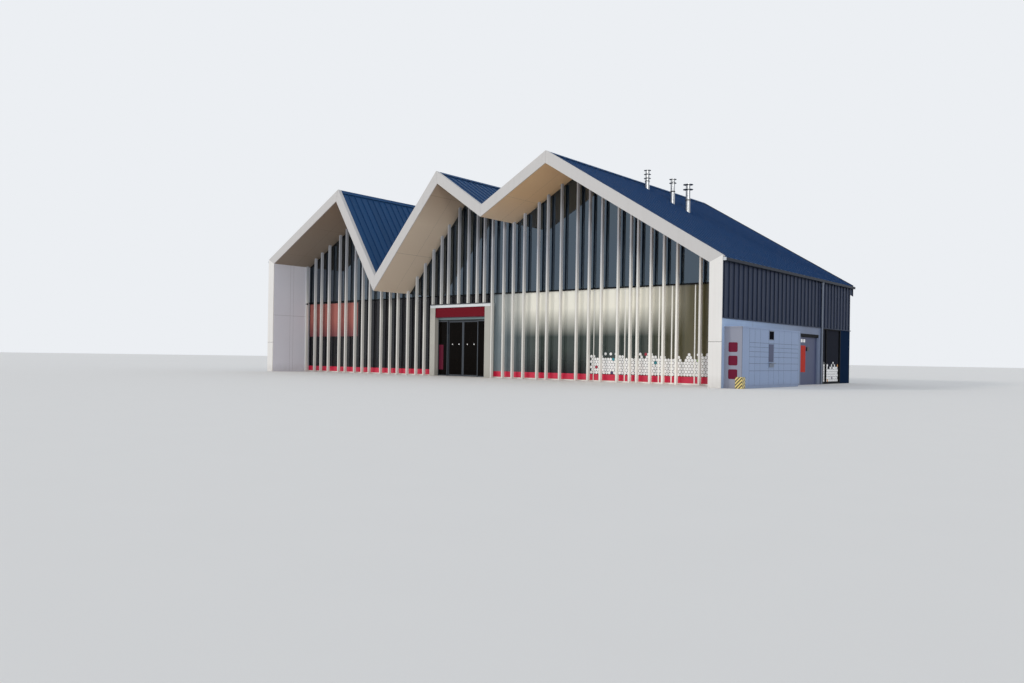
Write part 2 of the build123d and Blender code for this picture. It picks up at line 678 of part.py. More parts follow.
# Fixed sidelights beside the sliding leaves: a frame and its pane
sidelights = [(inner_left_x, door_middle_x - LEAF_WIDTH), (door_middle_x + LEAF_WIDTH, inner_right_x)]
pane_front = (post_back + header_back - LEAF_GLASS) / 2
with BuildPart() as sidelight_frames:
    for low_x, high_x in sidelights:
        add_block(low_x, high_x, post_back, header_back, FLOOR_THICKNESS, DOOR_HEAD_HEIGHT)
        with Locations(((low_x + high_x) / 2, (post_back + header_back) / 2,
                        (FLOOR_THICKNESS + DOOR_HEAD_HEIGHT) / 2)):
            Box(high_x - low_x - 2 * SIDELIGHT_FRAME, HEADER_DEPTH,
                DOOR_HEAD_HEIGHT - FLOOR_THICKNESS - 2 * SIDELIGHT_FRAME, mode=Mode.SUBTRACT)
save(sidelight_frames.part, "sidelight_frames")

with BuildPart() as sidelight_glass:
    for low_x, high_x in sidelights:
        add_block(low_x + SIDELIGHT_FRAME, high_x - SIDELIGHT_FRAME, pane_front,
                  pane_front + LEAF_GLASS, FLOOR_THICKNESS + SIDELIGHT_FRAME,
                  DOOR_HEAD_HEIGHT - SIDELIGHT_FRAME)
save(sidelight_glass.part, "sidelight_glass")


def leaf_edges(sign):
    """Lowest and highest X of a sliding leaf when it is shut."""
    meeting_x = door_middle_x + sign * LEAF_CLEARANCE / 2
    outer_x = door_middle_x + sign * LEAF_WIDTH
    return min(meeting_x, outer_x), max(meeting_x, outer_x)


def leaf_frame(sign):
    """Frame of a sliding leaf with two hangers that hook over the rail."""
    low_x, high_x = leaf_edges(sign)
    with BuildPart() as leaf:
        add_block(low_x, high_x, leaf_front, leaf_back, leaf_foot, leaf_head)
        with Locations(((low_x + high_x) / 2, (leaf_front + leaf_back) / 2, (leaf_foot + leaf_head) / 2)):
            Box(high_x - low_x - 2 * LEAF_STILE, LEAF_THICKNESS,
                leaf_head - leaf_foot - 2 * LEAF_STILE, mode=Mode.SUBTRACT)
        hook_foot = rail_level + RAIL_SIZE + SEAT_GAP
        hook_head = hook_foot + HANGER_THICKNESS
        plate_front = leaf_back - HANGER_THICKNESS
        for end_x in (low_x + LEAF_STILE, high_x - LEAF_STILE):
            hanger_low = max(end_x - HANGER_WIDTH / 2, low_x)
            hanger_high = min(end_x + HANGER_WIDTH / 2, high_x)
            add_block(hanger_low, hanger_high, plate_front, leaf_back, leaf_head, hook_head)
            add_block(hanger_low, hanger_high, header_back + LEAF_PLANE_GAP / 2, plate_front,
                      hook_foot, hook_head)
    return leaf.part


def leaf_pane(sign):
    """Glass of a sliding leaf, in the middle of its frame."""
    low_x, high_x = leaf_edges(sign)
    glass_front = (leaf_front + leaf_back - LEAF_GLASS) / 2
    with BuildPart() as pane:
        add_block(low_x + LEAF_STILE, high_x - LEAF_STILE, glass_front, glass_front + LEAF_GLASS,
                  leaf_foot + LEAF_STILE, leaf_head - LEAF_STILE)
    return pane.part


for side, sign in (("left", -1), ("right", 1)):
    save(leaf_frame(sign), f"{side}_leaf_frame")
    save(leaf_pane(sign), f"{side}_leaf_glass")

# Parcel locker bank against the side wall: cap, kick recess and door grooves
locker_low_x, locker_high_x = plinth_outer, plinth_outer + LOCKER_DEPTH
locker_start = y_at(LOCKER_START_BACK)
locker_end = locker_start + LOCKER_LENGTH
locker_middle_y = (locker_start + locker_end) / 2
door_foot, door_head = LOCKER_KICK_HEIGHT, LOCKER_HEIGHT - LOCKER_CAP


def add_groove(y_low, y_high, z_low, z_high):
    """Cut a groove into the long face of the locker bank."""
    with Locations((locker_high_x - LOCKER_GROOVE_DEPTH / 2, (y_low + y_high) / 2, (z_low + z_high) / 2)):
        Box(LOCKER_GROOVE_DEPTH, y_high - y_low, z_high - z_low, mode=Mode.SUBTRACT)


def groove_at(middle):
    """Both edges of a groove whose middle is given."""
    return middle - LOCKER_GROOVE / 2, middle + LOCKER_GROOVE / 2


front_lines = [locker_start + offset for offset in LOCKER_FRONT_COLUMNS]
rear_lines = [locker_start + offset for offset in LOCKER_REAR_COLUMNS]
with BuildPart() as locker_bank:
    add_block(locker_low_x, locker_high_x, locker_start, locker_end, 0, LOCKER_HEIGHT - LOCKER_CAP)
    add_block(locker_low_x, locker_high_x + LOCKER_CAP_REACH, locker_start - LOCKER_CAP_REACH,
              locker_end + LOCKER_CAP_REACH, LOCKER_HEIGHT - LOCKER_CAP, LOCKER_HEIGHT)
    with Locations((locker_high_x - LOCKER_KICK_DEPTH / 2, locker_middle_y, LOCKER_KICK_HEIGHT / 2)):
        Box(LOCKER_KICK_DEPTH, LOCKER_LENGTH, LOCKER_KICK_HEIGHT, mode=Mode.SUBTRACT)
    for line in front_lines + rear_lines:
        add_groove(*groove_at(line), door_foot, door_head)
    for level in (LOCKER_LOW_ROW, LOCKER_TALL_ROW):
        add_groove(front_lines[0], rear_lines[-1], *groove_at(level))
    for level in LOCKER_SMALL_ROWS:
        add_groove(front_lines[0], front_lines[-1], *groove_at(level))
        add_groove(rear_lines[0], rear_lines[-1], *groove_at(level))
save(locker_bank.part, "locker_bank")

# Striped guard round the locker bank's front corner
with BuildPart() as corner_guard:
    guard_x = locker_high_x + GUARD_THICKNESS
    guard_y = locker_start - GUARD_THICKNESS
    add_block(locker_high_x, guard_x, guard_y, locker_start + GUARD_WING, 0, GUARD_HEIGHT)
    add_block(locker_high_x - GUARD_WING, locker_high_x, guard_y, locker_start, 0, GUARD_HEIGHT)
save(corner_guard.part, "corner_guard")

# Eaves gutters: open troughs along both sides
with BuildPart() as eaves_gutters:
    for sign in (-1, 1):
        top = gutter_top(sign)
        near_x, far_x = sign * WALL_FACE, sign * (HALF_WIDTH + GUTTER_WIDTH)
        middle_x = (near_x + far_x) / 2
        trough_length = ROOF_END - ROOF_START
        middle_y = (ROOF_END + ROOF_START) / 2
        with Locations((middle_x, middle_y, top - GUTTER_HEIGHT / 2)):
            Box(abs(far_x - near_x), trough_length, GUTTER_HEIGHT)
        with Locations((middle_x, middle_y, top - GUTTER_HEIGHT / 2 + GUTTER_WALL)):
            Box(abs(far_x - near_x) - 2 * GUTTER_WALL, trough_length - 2 * GUTTER_WALL,
                GUTTER_HEIGHT, mode=Mode.SUBTRACT)
save(eaves_gutters.part, "eaves_gutters")

# Downpipe from the right-hand gutter
with BuildPart() as downpipe:
    pipe_x = plinth_outer + DOWNPIPE_DIAMETER / 2
    pipe_top = gutter_top(1) - GUTTER_HEIGHT
    with Locations((pipe_x, y_at(PLINTH_END_BACK + DOWNPIPE_OFFSET), pipe_top / 2)):
        Cylinder(DOWNPIPE_DIAMETER / 2, pipe_top)
save(downpipe.part, "downpipe")

# Stainless flues on the right-hand slope, cut to the slope at their feet
flue_run = RIGHT_RIDGE
slope_inward = run_direction(flue_run)[1]
flue_y = ROOF_START + FIRST_SEAM + (FLUE_BAY + 0.5) * ROOF_SEAM_PITCH + SEAM_WIDTH / 2


def flue_profile(flue, low, foot, head):
    """Half outline of a flue: tube, collar, one or two skirts and a shallow cap."""
    tube, rim = flue["diameter"] / 2, flue["cap"] / 2
    collar = foot + flue["collar"]
    points = [(0, low), (tube, low), (tube, collar), (tube + FLUE_COLLAR_PROUD, collar),
              (tube + FLUE_COLLAR_PROUD, collar + FLUE_COLLAR_HEIGHT), (tube, collar + FLUE_COLLAR_HEIGHT)]
    for skirt in range(flue["skirts"], 0, -1):
        level = head - skirt * flue["pitch"]
        points += [(tube, level), (rim, level), (rim, level + FLUE_CAP_RIM), (tube, level + FLUE_SKIRT_RISE)]
    points += [(tube, head), (rim, head), (rim, head + FLUE_CAP_RIM), (0, head + FLUE_CAP_RISE)]
    return points


with BuildPart() as flues:
    for flue in FLUES:
        flue_x = x_at(flue["across"])
        foot = slope_height(flue_run, flue_x, ROOFING_DROP)
        half_plane = Plane(origin=(flue_x, flue_y, 0), x_dir=(1, 0, 0), z_dir=(0, -1, 0))
        with BuildSketch(half_plane) as flue_outline:
            with BuildLine():
                Polyline(*flue_profile(flue, foot - flue["diameter"], foot, foot + flue["height"]),
                         close=True)
            make_face()
        revolve(axis=Axis((flue_x, flue_y, 0), (0, 0, 1)))
    foot_point = at_x(flue_run, x_at(FLUES[0]["across"]), ROOFING_DROP)
    split(bisect_by=Plane(origin=(foot_point[0], 0, foot_point[1]), x_dir=(0, 1, 0),
                          z_dir=(-slope_inward[0], 0, -slope_inward[1])), keep=Keep.TOP)
save(flues.part, "flues")
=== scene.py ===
"""Looks of a supermarket building with a folded roof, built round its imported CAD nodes."""

import math
import random

import bpy
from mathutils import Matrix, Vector


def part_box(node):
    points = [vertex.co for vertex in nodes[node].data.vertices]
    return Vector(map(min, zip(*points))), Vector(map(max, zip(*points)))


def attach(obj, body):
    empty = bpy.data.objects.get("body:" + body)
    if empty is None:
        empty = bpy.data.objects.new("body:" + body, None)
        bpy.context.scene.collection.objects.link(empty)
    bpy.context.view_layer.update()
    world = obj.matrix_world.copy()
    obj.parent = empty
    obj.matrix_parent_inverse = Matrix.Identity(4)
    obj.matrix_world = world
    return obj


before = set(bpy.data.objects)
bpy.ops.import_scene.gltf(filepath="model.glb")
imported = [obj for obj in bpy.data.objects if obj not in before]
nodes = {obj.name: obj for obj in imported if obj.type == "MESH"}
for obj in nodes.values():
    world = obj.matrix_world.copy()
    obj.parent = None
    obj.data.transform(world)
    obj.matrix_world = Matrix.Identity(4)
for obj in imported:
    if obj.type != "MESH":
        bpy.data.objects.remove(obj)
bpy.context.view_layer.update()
BUILDING = "building"
LEAVES = ("left_leaf", "right_leaf")

# Sizes and places in metres, in the part's own frame
FRONT_Y = -7.3              # front face of the folded edge; the roof's rear edge is at -FRONT_Y
REAR_OVERHANG = 0.32        # roof behind the rear wall
REAR_WALL_X = -14.08        # left end of the rear wall's sheets
CLADDING_FACE = 14.38       # outer face of the side cladding, from the middle
PLINTH_FACE = 14.36
PLINTH_TOP = 2.6
HALL_HALF = 13.88           # inner face of the wing walls, from the middle
ROOF_PITCH = 0.43           # standing seams
ROOF_START = FRONT_Y + 0.205
WALL_PITCH = 0.42
PANEL_PITCH = 3.11          # plinth panels
DECK_PITCH = 1.25
TILE = 0.6
PIER_JOINT_Z = 1.70
WING_JOINT_Z = 3.30
WING_JOINTS_BACK = (1.17, 1.39)     # upright joints, distance behind the front
SOFFIT_JOINT_BACK = 1.44
SOFFIT_PITCH = 2.4
ENTRANCE_RIGHT = 1.1        # the lower panes carry a painted reflection right of this place
TRANSOM_Z = 4.13


# ---- Node materials ----

def colour(red, green, blue):
    """Linear colour from three display values of 0 to 255."""
    def linear(value):
        value /= 255
        return value / 12.92 if value <= 0.04045 else ((value + 0.055) / 1.055) ** 2.4
    return (linear(red), linear(green), linear(blue), 1.0)


def scaled(rgba, factor):
    """The same colour, lighter or darker."""
    return tuple(min(1.0, c * factor) for c in rgba[:3]) + (1.0,)


class Surface:
    """A Principled material whose colour, roughness and bump come from object-space nodes.

    Each method adds a layer of colour, and those that return the surface can be chained. Places
    along x, y and z are in the part's frame. done() joins the layers to the shader.
    """

    def __init__(self, name, base, rough=0.5, metallic=0.0, spread=0.06, spread_scale=1.2,
                 bump=0.15, bump_scale=40.0, alpha=1.0, specular=0.5, coat=0.0):
        self.material = bpy.data.materials.new(name)
        self.material.use_nodes = True
        self.tree = self.material.node_tree
        self.shader = next(n for n in self.tree.nodes if n.type == "BSDF_PRINCIPLED")
        self.shader.inputs["Metallic"].default_value = metallic
        self.shader.inputs["Specular IOR Level"].default_value = specular
        self.shader.inputs["Coat Weight"].default_value = coat
        self.shader.inputs["Alpha"].default_value = alpha
        self.where = self.tree.nodes.new("ShaderNodeTexCoord").outputs["Object"]
        split = self.tree.nodes.new("ShaderNodeSeparateXYZ")
        self.tree.links.new(self.where, split.inputs[0])
        self.x, self.y, self.z = split.outputs
        cloud = self.noise(spread_scale, 4.0)
        self.colour = self.mix(cloud, scaled(base, 1 - spread), scaled(base, 1 + spread))
        fine = self.noise(bump_scale, 3.0)
        swing = min(0.06, rough / 2)
        self.rough = self.remap(fine, rough - swing, min(1.0, rough + swing))
        self.height = fine
        self.bump = bump

    def link(self, value, socket):
        """Feed a socket with a number, a colour or another node's output."""
        if isinstance(value, bpy.types.NodeSocket):
            self.tree.links.new(value, socket)
        else:
            socket.default_value = value

    def noise(self, scale, detail, stretch=None):
        node = self.tree.nodes.new("ShaderNodeTexNoise")
        node.inputs["Scale"].default_value = scale
        node.inputs["Detail"].default_value = detail
        vector = self.where
        if stretch:
            mapping = self.tree.nodes.new("ShaderNodeMapping")
            mapping.inputs["Scale"].default_value = stretch
            self.tree.links.new(vector, mapping.inputs["Vector"])
            vector = mapping.outputs[0]
        self.tree.links.new(vector, node.inputs["Vector"])
        return node.outputs[0]

    def math(self, operation, a, b=0.0):
        node = self.tree.nodes.new("ShaderNodeMath")
        node.operation = operation
        self.link(a, node.inputs[0])
        self.link(b, node.inputs[1])
        return node.outputs[0]

    def remap(self, value, low, high, start=0.0, end=1.0):
        """Carry a value from the range start to end over to the range low to high."""
        node = self.tree.nodes.new("ShaderNodeMapRange")
        for socket, number in zip(("From Min", "From Max", "To Min", "To Max"), (start, end, low, high)):
            node.inputs[socket].default_value = number
        self.tree.links.new(value, node.inputs["Value"])
        return node.outputs[0]

    def mix(self, factor, a, b):
        node = self.tree.nodes.new("ShaderNodeMix")
        node.data_type = "RGBA"
        self.link(factor, node.inputs[0])
        self.link(a, node.inputs[6])
        self.link(b, node.inputs[7])
        return node.outputs[2]

    def line(self, axis, at, width, period=None):
        """Mask of a thin line at one place along an axis, or one each period."""
        place = self.math("SUBTRACT", axis, at - width / 2)
        if period:
            place = self.math("FLOORED_MODULO", place, period)
        return self.math("MULTIPLY", self.math("GREATER_THAN", place, 0.0),
                         self.math("LESS_THAN", place, width))

    def darken(self, mask, rgba, depth=0.0):
        """Colour the surface where a mask is set, and sink it there."""
        self.colour = self.mix(mask, self.colour, rgba)
        if depth:
            self.height = self.math("SUBTRACT", self.height, self.math("MULTIPLY", mask, depth))
        return self

    def joint(self, mask, strength=0.5):
        """A narrow joint, a darker tone of the present colour."""
        return self.darken(self.math("MULTIPLY", mask, strength), colour(0, 0, 0), 1.0)

    def streaks(self, rgba, strength=0.25, stretch=(9.0, 9.0, 0.35)):
        """Faint run marks along the surface."""
        runs = self.remap(self.noise(1.0, 5.0, stretch), 0.0, strength, 0.45, 0.8)
        return self.darken(runs, rgba)

    def grime(self, rgba, height, strength=0.4):
        """Splash marks that fade upwards from the ground."""
        fade = self.remap(self.z, strength, 0.0, 0.0, height)
        return self.darken(self.math("MULTIPLY", fade, self.noise(3.0, 6.0)), rgba)

    def trays(self, axis, start, pitch, amount=0.08):
        """A slightly different tone on each tray of a sheet with standing seams."""
        index = self.math("FLOOR", self.math("DIVIDE", self.math("SUBTRACT", axis, start), pitch))
        node = self.tree.nodes.new("ShaderNodeTexWhiteNoise")
        node.noise_dimensions = "1D"
        self.tree.links.new(index, node.inputs["W"])
        tone = self.tree.nodes.new("ShaderNodeHueSaturation")
        self.tree.links.new(self.remap(node.outputs[0], 1 - amount, 1 + amount), tone.inputs["Value"])
        self.tree.links.new(self.colour, tone.inputs["Color"])
        self.colour = tone.outputs[0]
        return self

    def shade(self, axis, start, end, rgba, mask=None):
        """Blend from the present colour to another between two places along an axis."""
        fade = self.remap(axis, 0.0, 1.0, start, end)
        if mask is not None:
            fade = self.math("MULTIPLY", fade, mask)
        return self.darken(fade, rgba)

    def facing(self, direction, least=0.6):
        """Mask of the faces that look along a direction, given as an axis letter and a sign."""
        split = self.tree.nodes.new("ShaderNodeSeparateXYZ")
        self.tree.links.new(self.tree.nodes.new("ShaderNodeNewGeometry").outputs["True Normal"],
                            split.inputs[0])
        along = split.outputs["xyz".index(direction[0])]
        sign = 1.0 if direction[1] == "+" else -1.0
        return self.math("GREATER_THAN", self.math("MULTIPLY", along, sign), least)

    def done(self, distance=0.002):
        """Join the layers to the shader; the bump is up to that distance deep."""
        if self.bump:
            bump = self.tree.nodes.new("ShaderNodeBump")
            bump.inputs["Strength"].default_value = self.bump
            bump.inputs["Distance"].default_value = distance
            self.tree.links.new(self.height, bump.inputs["Height"])
            self.tree.links.new(bump.outputs[0], self.shader.inputs["Normal"])
        self.tree.links.new(self.colour, self.shader.inputs["Base Color"])
        self.tree.links.new(self.rough, self.shader.inputs["Roughness"])
        return self.material


DIRT = colour(112, 104, 94)
SHADOW = colour(48, 46, 45)

# Render, boards and panels of the front
white = Surface("render_white", colour(200, 197, 195), 0.55, spread=0.03, bump_scale=90)
white.streaks(colour(180, 176, 170), 0.18).grime(DIRT, 0.5)
WHITE = white.done()

# The piers' lighter tone of the fascia's white paint is painted sunlight.
pier = Surface("pier_white", colour(233, 230, 226), 0.55, spread=0.03, bump_scale=90)
pier.streaks(colour(206, 200, 192), 0.18).grime(DIRT, 0.5)
pier.darken(pier.line(pier.z, PIER_JOINT_Z, 0.014), SHADOW, 2.0)
PIER = pier.done()

# The wing walls' bluish tint on the same white paint is painted skylight shade.
wing = Surface("wing_wall_panels", colour(219, 218, 226), 0.55, spread=0.03, bump_scale=90)
wing_joint = colour(150, 146, 150)
wing.grime(DIRT, 0.5).darken(wing.line(wing.z, WING_JOINT_Z, 0.012), wing_joint, 2.0)
for back in WING_JOINTS_BACK:
    wing.darken(wing.line(wing.y, FRONT_Y + back, 0.010), wing_joint, 2.0)
WING = wing.done()

# The soffits are warm at the right gable, paler in the middle and darker at the left and towards the
# apex of the left and middle gables: the warm tone is partly painted sunlight bounced from the ground,
# and the darker parts are partly painted shade
soffit = Surface("soffit_boards", colour(228, 189, 145), 0.6, spread=0.05, spread_scale=0.7)
soffit.shade(soffit.x, 4.2, 1.5, colour(219, 200, 178))
soffit.shade(soffit.x, -5.0, -8.0, colour(149, 133, 117))
soffit.shade(soffit.z, 7.6, 9.8, colour(150, 124, 102), soffit.math("LESS_THAN", soffit.x, 2.0))
soffit.joint(soffit.line(soffit.x, -0.9, 0.010, SOFFIT_PITCH), 0.45)
soffit.joint(soffit.line(soffit.y, FRONT_Y + SOFFIT_JOINT_BACK, 0.010), 0.45)
SOFFIT = soffit.done()

portal = Surface("portal_panels", colour(180, 178, 169), 0.5, spread=0.04, bump_scale=80)
portal.streaks(colour(166, 163, 156), 0.15).grime(DIRT, 0.5)
PORTAL = portal.done()

lintel = Surface("lintel_panels", colour(222, 224, 226), 0.5, spread=0.03, bump_scale=80)
lintel.darken(lintel.line(lintel.x, -2.55, 0.008, 1.56), colour(176, 178, 178), 1.0)
LINTEL = lintel.streaks(colour(214, 216, 216), 0.12).done()

# Roof and wall sheets
roof = Surface("roof_sheet", colour(22, 67, 110), 0.62, spread=0.07, spread_scale=0.5,
               bump=0.1, bump_scale=12, specular=0.22)
roof.streaks(colour(34, 75, 123), 0.35, (0.5, 8.0, 0.5))
# Faces that look to the front, the seams' sides, get a darker tone: painted shade.
roof.darken(roof.facing("y-"), colour(21, 58, 103))
ROOF = roof.trays(roof.y, ROOF_START, ROOF_PITCH, 0.05).done(0.004)

cladding = Surface("wall_sheet", colour(31, 43, 68), 0.55, spread=0.05, spread_scale=0.6,
                   bump=0.1, bump_scale=12, specular=0.3)
cladding.streaks(colour(39, 51, 76), 0.3, (6.0, 6.0, 0.3))
# Faces that look to the front, the seams' sides, get a darker tone: painted shade.
cladding.darken(cladding.facing("y-"), colour(30, 39, 58))
CLADDING = cladding.trays(cladding.y, ROOF_START, WALL_PITCH, 0.04).done(0.004)

rear_sheet = Surface("rear_wall_sheet", colour(50, 60, 77), 0.42, 0.2, spread=0.06,
                     spread_scale=0.6, bump=0.1, bump_scale=12)
rear_sheet.streaks(colour(70, 80, 96), 0.3, (6.0, 6.0, 0.3))
rear_sheet.trays(rear_sheet.x, REAR_WALL_X, WALL_PITCH)
rear_seams = rear_sheet.line(rear_sheet.x, REAR_WALL_X, 0.028, WALL_PITCH)
rear_sheet.darken(rear_seams, colour(30, 36, 48), -2.0)
REAR_SHEET = rear_sheet.done(0.02)

panel = Surface("dark_panels", colour(24, 40, 64), 0.6, spread=0.08, bump_scale=90, specular=0.0)
DARK_PANEL = panel.streaks(colour(30, 46, 72), 0.3).done()

# Plinths, roof deck and floor
PANEL_JOINT = colour(86, 90, 98)
# The plinth's blue cast is partly painted skylight shade, and its darker tone towards the rear is partly
# painted shade.
plinth = Surface("plinth_panels", colour(165, 188, 220), 0.5, spread=0.04, bump_scale=70)
plinth.shade(plinth.y, -5.5, 1.0, colour(104, 116, 142)).streaks(colour(132, 144, 164), 0.15)
plinth.grime(DIRT, 0.6)
plinth.darken(plinth.line(plinth.y, FRONT_Y + 2.75, 0.012, PANEL_PITCH), PANEL_JOINT, 2.0)
PLINTH = plinth.done()

rear_plinth = Surface("rear_plinth_panels", colour(164, 176, 196), 0.5, spread=0.04, bump_scale=70)
rear_plinth.streaks(colour(142, 152, 168), 0.2).grime(DIRT, 0.6)
rear_plinth.darken(rear_plinth.line(rear_plinth.x, -12.5, 0.012, PANEL_PITCH), PANEL_JOINT, 2.0)
REAR_PLINTH = rear_plinth.done()

deck = Surface("deck_boards", colour(176, 170, 160), 0.75, spread=0.08, bump_scale=25)
deck.darken(deck.line(deck.y, -6.0, 0.01, DECK_PITCH), colour(120, 112, 102), 2.0)
outside = deck.math("GREATER_THAN", deck.y, -FRONT_Y - REAR_OVERHANG - 0.02)
deck.darken(outside, colour(40, 52, 74))
DECK = deck.done()

tiles = Surface("floor_tiles", colour(186, 182, 176), 0.32, spread=0.05, spread_scale=2.0)
for across in (tiles.x, tiles.y):
    tiles.darken(tiles.line(across, 0.0, 0.006, TILE), colour(120, 116, 110), 1.0)
TILES = tiles.done()

# Glass: the upper panes reflect strongly, with a blue tint
upper = Surface("glass_upper", colour(6, 6, 9), 0.02, spread=0.10, spread_scale=0.35, bump=0.0,
                alpha=0.96, specular=1.0)
upper.shader.inputs["IOR"].default_value = 1.7
upper.shader.inputs["Specular Tint"].default_value = (0.64, 0.82, 1.0, 1.0)
# The base turns bluer from the left gable to the right: a slight painted sky reflection.
GLASS_UPPER = upper.shade(upper.x, -1.5, 1.5, colour(8, 18, 28)).done()

# The lower panes are dark left of the entrance. Right of it they carry a painted reflection: pale sky in
# the upper part, and darker surroundings towards the foot, near the entrance and at the far right
lower = Surface("glass_lower", colour(20, 21, 27), 0.02, spread=0.12, spread_scale=0.3, bump=0.0,
                alpha=0.92, specular=0.4)
bright = lower.math("GREATER_THAN", lower.x, ENTRANCE_RIGHT)
lower.shade(lower.z, 0.2, 1.4, colour(66, 76, 72), bright)
lower.shade(lower.z, 2.0, 3.3, colour(250, 247, 234), bright)
lower.shade(lower.x, 3.6, 1.2, colour(124, 136, 142), bright)
lower.shade(lower.x, 9.4, 11.8, colour(96, 90, 64), bright)
GLASS_LOWER = lower.done()

GLASS_SIDE = Surface("glass_side", colour(44, 46, 54), 0.05, spread=0.15, spread_scale=0.6, bump=0.0,
                     specular=0.0).done()
GLASS_DOOR = Surface("glass_door", colour(14, 11, 9), 0.03, spread=0.25, spread_scale=1.5, bump=0.0,
                     alpha=0.96, specular=0.03).done()

# Frames, fins and mullions
DARK_FRAME = Surface("dark_frame", colour(44, 47, 53), 0.42, spread=0.08, bump_scale=120).done()
DOOR_FRAME = Surface("door_frame", colour(64, 70, 78), 0.38, 0.3, spread=0.06, bump_scale=120).done()
TRANSOM = Surface("transom_metal", colour(16, 18, 22), 0.6, spread=0.1, bump_scale=120,
                  specular=0.1).done()
BLACK = Surface("black_plastic", colour(24, 24, 27), 0.35, spread=0.1, bump_scale=160).done()

mullion = Surface("mullion_metal", colour(208, 200, 186), 0.5, spread=0.05, bump_scale=80)
# The pale tone below the transom is partly painted sunlight, and the dark tone above it is painted
# shade.
above_transom = mullion.math("GREATER_THAN", mullion.z, TRANSOM_Z)
mullion.darken(above_transom, colour(40, 42, 47))
MULLION = mullion.done()

fin = Surface("fin_metal", colour(226, 224, 218), 0.5, spread=0.04, bump_scale=80)
# The fins' lighter tone towards the right end is painted sunlight, and their darker, bluer tone higher
# up is painted shade under the porch roof.
fin.shade(fin.x, 5.0, 11.0, colour(254, 252, 244)).streaks(colour(208, 205, 198), 0.08)
fin.shade(fin.z, 3.6, 6.0, colour(176, 179, 186))
fin.grime(DIRT, 0.3, 0.3)
FIN = fin.done()

# Red panels, door header and salmon screens
RED = Surface("red_panel", colour(208, 26, 66), 0.3, spread=0.07, bump_scale=90, coat=0.3).done()
# The sign's red is darkened, partly as painted shade from the cap over it.
SIGN_RED = Surface("sign_red", colour(108, 8, 26), 0.5, spread=0.1, spread_scale=2.5,
                   bump_scale=90, specular=0.1).done()
MAGENTA = Surface("magenta_panel", colour(92, 8, 40), 0.5, spread=0.1, bump_scale=90,
                  specular=0.2).done()
header = Surface("header_metal", colour(136, 160, 162), 0.42, 0.2, spread=0.06, bump_scale=90)
header_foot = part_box("entrance_header")[0].z + 0.06
header.darken(header.math("LESS_THAN", header.z, header_foot), colour(24, 28, 30))
HEADER = header.done()
salmon = Surface("salmon_screen", colour(162, 92, 84), 0.5, spread=0.08, spread_scale=2.5,
                 bump_scale=150)
SALMON = salmon.shade(salmon.z, 3.0, 2.1, colour(116, 60, 64)).done()

# Window film
FILM_WHITE = Surface("film_white", colour(250, 249, 248), 0.5, spread=0.04, bump_scale=120).done()
FILM_COLOURS = [
    Surface("film_" + name, colour(*rgb), 0.45, spread=0.08, bump_scale=120).done()
    for name, rgb in (("teal", (38, 138, 150)), ("green", (136, 170, 96)), ("amber", (226, 160, 92)),
                      ("violet", (66, 48, 92)), ("crimson", (168, 34, 60)))
]

# Lockers, niche and guard; the grooves between the lockers' doors are painted dark as shade in them
LOCKER_TOP_REACH = 0.02     # the lockers' top runs past their faces by this much
LOCKER_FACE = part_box("locker_bank")[1].x - LOCKER_TOP_REACH
# The long face's blue cast is painted skylight shade, and the greyer front end is the lit tone of the
# same metal: painted light.
locker = Surface("locker_metal", colour(137, 155, 187), 0.5, spread=0.04, bump_scale=100)
locker.darken(locker.facing("y-"), colour(142, 145, 160)).grime(DIRT, 0.25, 0.3)
# The inside of the grooves is painted dark: painted shade.
painted_groove_shade = locker.math("MULTIPLY", locker.math("LESS_THAN", locker.x, LOCKER_FACE - 0.001),
                     locker.math("GREATER_THAN", locker.x, LOCKER_FACE - 0.012))
locker.darken(painted_groove_shade, colour(36, 40, 48))
LOCKER = locker.done()
LOCKER_TRIM = Surface("locker_trim", colour(116, 126, 142), 0.45, 0.2, spread=0.06,
                      bump_scale=100).done()
LOCKER_SIGN = Surface("locker_sign", colour(104, 10, 44), 0.5, spread=0.08, bump_scale=100,
                      specular=0.2).done()
SCREEN = Surface("screen_glass", colour(20, 21, 26), 0.12, spread=0.2, bump_scale=60,
                 specular=0.0).done()
NICHE = Surface("niche_panel", colour(62, 70, 102), 0.5, spread=0.05, bump_scale=80).done()
POSTER = Surface("poster_sheet", colour(184, 44, 30), 0.45, spread=0.18, spread_scale=1.6,
                 bump_scale=90, specular=0.05).done()

# The guard's stripes rise away from its corner on both of its legs
GUARD_CORNER = (15.09, FRONT_Y + 0.28)
guard = Surface("guard_stripes", colour(228, 206, 128), 0.4, spread=0.05, bump_scale=90, coat=0.2)
slant = guard.z
for axis, corner in zip((guard.x, guard.y), GUARD_CORNER):
    slant = guard.math("ADD", slant, guard.math("ABSOLUTE", guard.math("SUBTRACT", axis, corner)))
GUARD = guard.darken(guard.line(slant, 0.0, 0.055, 0.13), colour(40, 38, 34)).done()

# Steel, gutters and pipe
steel = Surface("stainless_steel", colour(178, 180, 182), 0.28, 0.9, spread=0.06, bump_scale=60)
# The dark undersides are partly soot and partly painted shade.
steel.darken(steel.facing("z-", 0.3), colour(40, 42, 46))
STEEL = steel.done()
gutter = Surface("gutter_metal", colour(26, 33, 46), 0.5, spread=0.06, bump_scale=60, specular=0.2)
# The lighter tops are painted light falling on them.
gutter.darken(gutter.facing("z+"), colour(46, 55, 70))
front_end = gutter.math("LESS_THAN", gutter.y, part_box("eaves_gutters")[0].y + 0.03)
gutter.darken(front_end, colour(206, 210, 214))
GUTTER = gutter.done()
PIPE = Surface("pipe_metal", colour(112, 120, 134), 0.5, 0.2, spread=0.06, bump_scale=60).done()


# ---- Meshes ----

